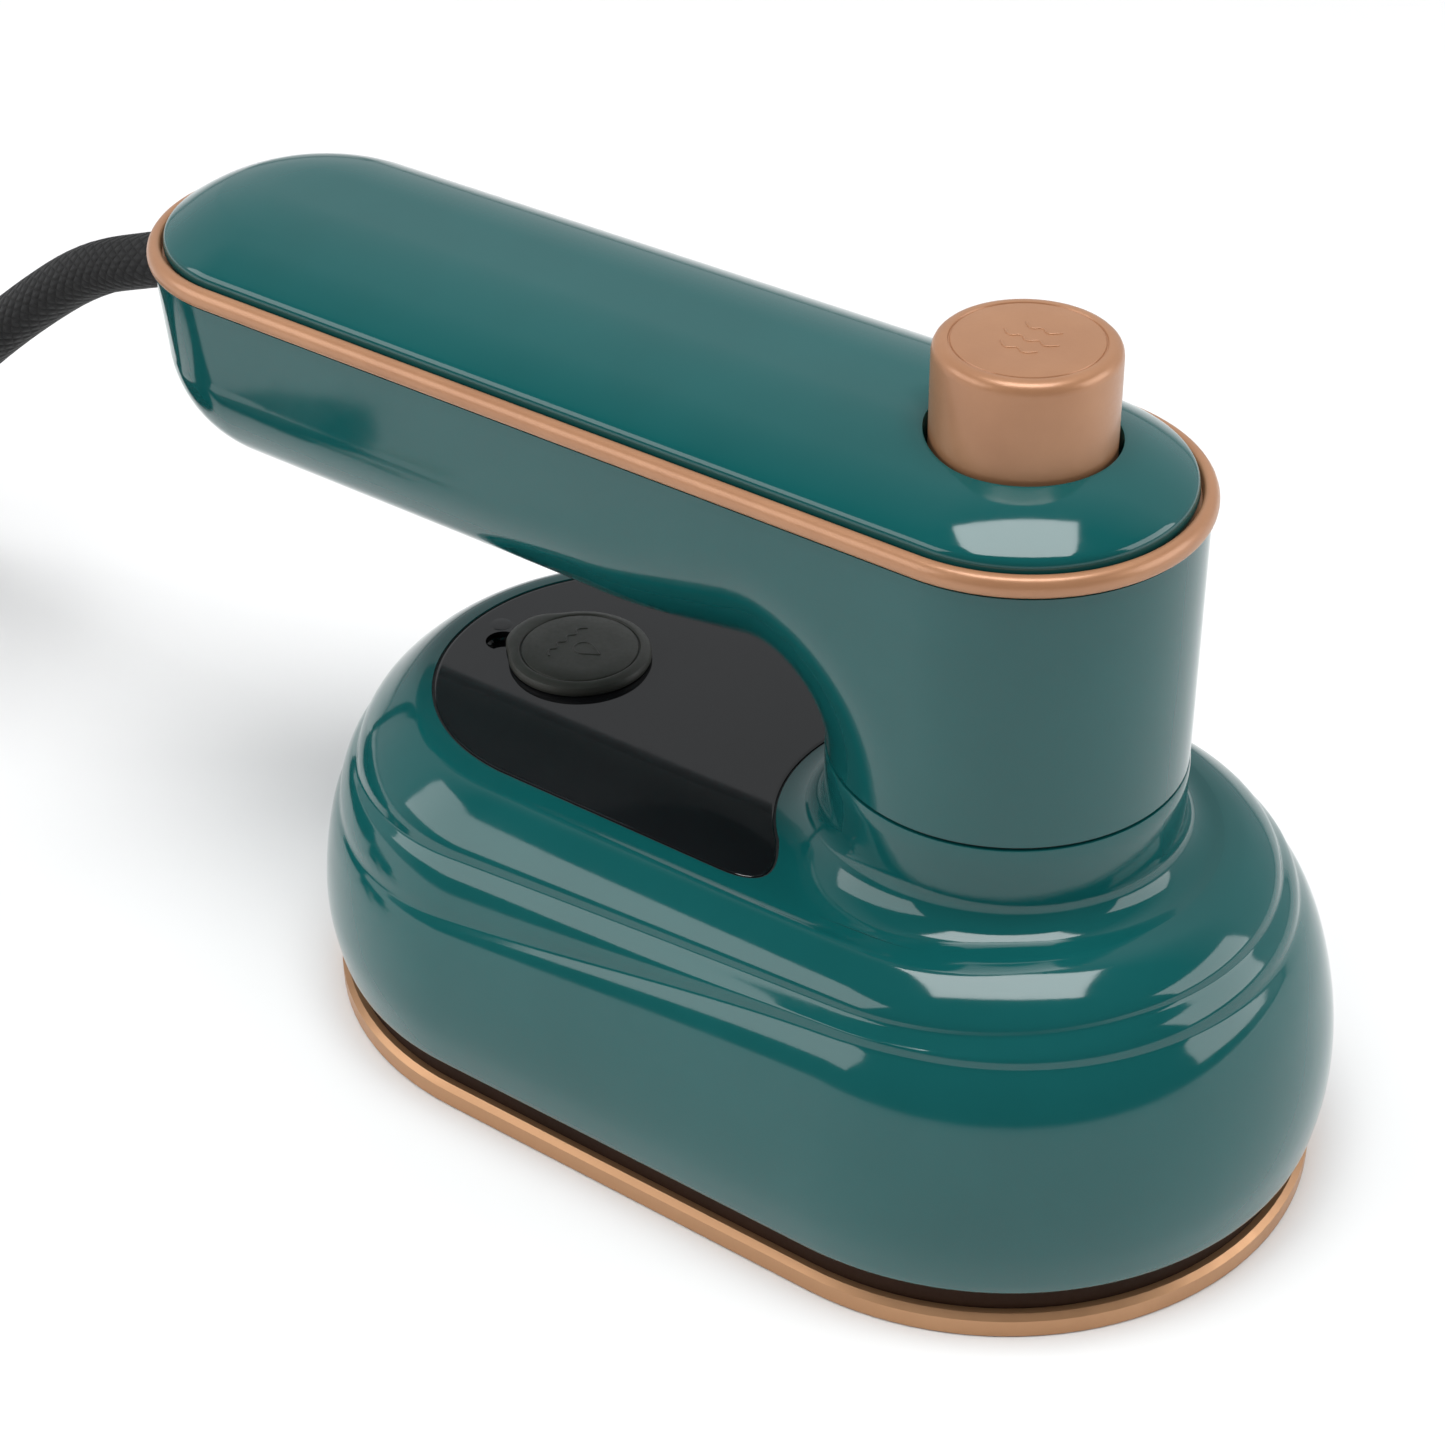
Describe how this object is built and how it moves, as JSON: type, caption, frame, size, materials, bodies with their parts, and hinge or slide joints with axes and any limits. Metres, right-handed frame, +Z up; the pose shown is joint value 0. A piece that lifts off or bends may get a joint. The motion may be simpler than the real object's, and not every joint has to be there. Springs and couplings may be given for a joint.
{
  "type": "steam iron",
  "caption": "Small steam iron: stadium sole, stepped dome, smoked tank window with stopper, swivel neck, long trimmed handle with push button, braided cord.",
  "frame": {"origin": "centre of the flat sole face, which stands on the ironing surface", "axes": "+Z up through the base, +X towards the neck end of the base, +Y to the left of that"},
  "size_m": [0.3223, 0.1346, 0.11],
  "materials": {
    "green_plastic": "glossy deep teal green",
    "rose_gold": "satin rose gold",
    "sole_metal": "polished champagne gold coating",
    "heater_steel": "drawn tube",
    "black_rubber": "matte",
    "lid_metal": "cast and machined",
    "screw_steel": "zinc plated",
    "control_steel": "pressed",
    "fuse_case": "bright",
    "skirt_plastic": "heat-resistant dark brown",
    "tank_plastic": "clear, moulded",
    "smoked_window": "smoked, polished",
    "stopper_rubber": "soft matte grey",
    "hose_silicone": "translucent silicone",
    "white_plastic": "natural nylon",
    "washer_plastic": "low-friction black",
    "lead_insulation": "silicone insulation",
    "dark_plastic": "moulded",
    "ball_steel": "polished",
    "pin_brass": "nickel plated",
    "cord_rubber": "matte",
    "cord_braid": "fine black textile braid",
    "tie_fabric": "hook and loop strip",
    "plug_plastic": "fine grain",
    "spring_steel": "drawn wire"
  },
  "bodies": {
    "base": {"soleplate": "sole_metal", "heating_element": "heater_steel", "chamber_gasket": "black_rubber", "steam_chamber_lid": "lid_metal", "lid_screws": "screw_steel", "thermostat": "control_steel", "thermal_fuse": "fuse_case", "insulating_skirt": "skirt_plastic", "sole_screws": "screw_steel", "shell_screws": "screw_steel", "base_shell": "green_plastic", "water_tank": "tank_plastic", "tank_window": "smoked_window", "stopper_anchor": "stopper_rubber", "suction_hose": "hose_silicone", "delivery_hose": "hose_silicone", "rotary_coupling": "white_plastic", "swivel_washer": "washer_plastic", "base_leads": "lead_insulation"},
    "handle": {"handle_lower": "green_plastic", "swivel_ring": "dark_plastic", "ring_screws": "screw_steel", "trim_band": "rose_gold", "handle_cover": "green_plastic", "handle_screws": "screw_steel", "pump_cylinder": "white_plastic", "valve_body": "white_plastic", "check_balls": "ball_steel", "handle_leads": "lead_insulation", "terminal_block": "white_plastic", "terminal_screws": "pin_brass", "cord_clamp": "dark_plastic", "clamp_screws": "screw_steel", "cord_gland": "cord_rubber", "cord_end": "cord_braid", "power_cord": "cord_braid", "cord_coil": "cord_braid", "coil_tie": "tie_fabric", "cord_tail": "cord_braid", "plug_body": "plug_plastic", "plug_pins": "pin_brass", "return_spring": "spring_steel"},
    "button": {"steam_button": "rose_gold", "piston_rod": "white_plastic", "piston_seal": "black_rubber"},
    "stopper": {"filler_stopper": "stopper_rubber"}
  },
  "joints": [
    {"name": "handle_swivel", "type": "hinge", "parent": "base", "child": "handle", "pos_m": [0.028, 0, 0.057], "axis": [0, 0, 1], "range_deg": [0, 180]},
    {"name": "button_press", "type": "slide", "parent": "handle", "child": "button", "axis": [0, 0, -1], "range_m": [0, 0.005], "stiffness_N_per_m": 400, "springref_m": -0.004, "deforming": ["return_spring"]},
    {"name": "stopper_hinge", "type": "hinge", "parent": "base", "child": "stopper", "pos_m": [-0.0472, 0, 0.045], "axis": [0, -1, 0], "range_deg": [0, 60]}
  ]
}
